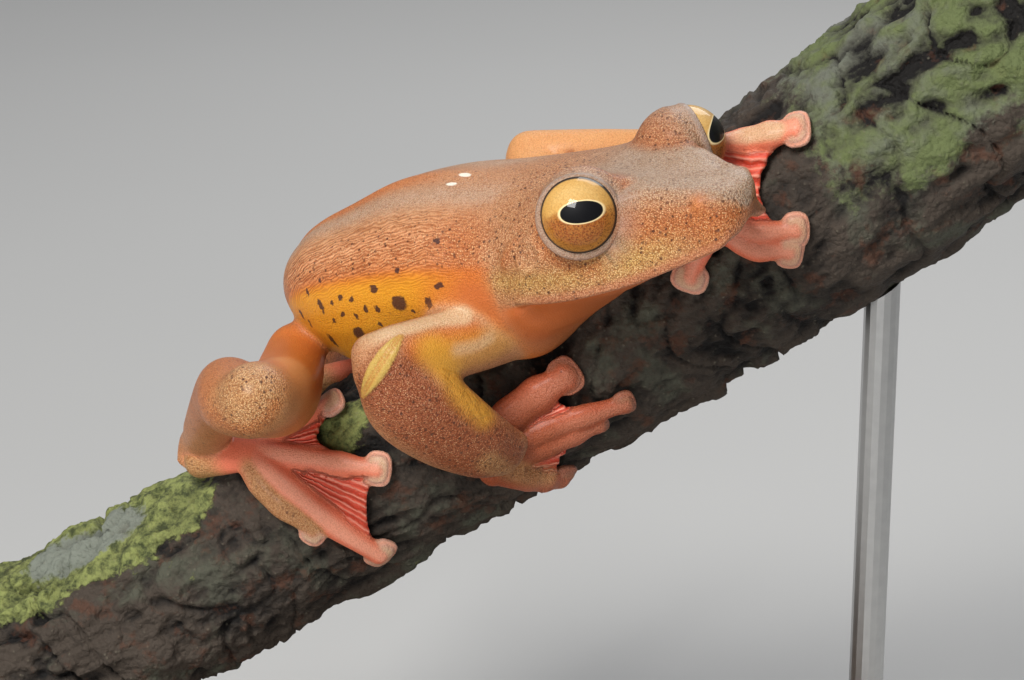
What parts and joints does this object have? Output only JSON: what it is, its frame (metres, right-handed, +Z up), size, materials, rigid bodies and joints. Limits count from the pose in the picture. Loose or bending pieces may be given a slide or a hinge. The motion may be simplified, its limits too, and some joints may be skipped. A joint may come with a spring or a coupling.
{
  "type": "tree frog",
  "caption": "Tree frog with large gold eyes and red webbed feet, clinging to a slanting cut length of branch on a plain display stand.",
  "frame": {"origin": "centre of the underside of the stand's base plate", "axes": "+X along the base, towards the higher end of the branch; +Z up; the frog's right side faces -Y"},
  "size_m": [0.118, 0.068, 0.1057],
  "materials": {
    "flesh": "moist granular skin, orange-brown above, yellow flanks with dark spots",
    "web": "coral-red webs, pinkish tan digits and discs",
    "eye": "wet glossy, gold iris with a horizontal black pupil",
    "bark": "rough dark bark with grey-green lichen",
    "stand_plate": "dark satin-painted wood",
    "stand_rod": "brushed steel"
  },
  "bodies": {
    "root": {"head": "flesh", "torso": "flesh", "upper_arm_right": "flesh", "upper_arm_left": "flesh", "forearm_right": "flesh", "forearm_left": "flesh", "thigh_right": "flesh", "thigh_left": "flesh", "shank_right": "flesh", "shank_left": "flesh", "hand_right": "web", "hand_left": "web", "foot_right": "web", "foot_left": "web", "eye_right": "eye", "eye_left": "eye", "perch_branch": "bark", "stand_base": "stand_plate", "stand_rod_low": "stand_rod", "stand_rod_high": "stand_rod"}
  },
  "joints": []
}
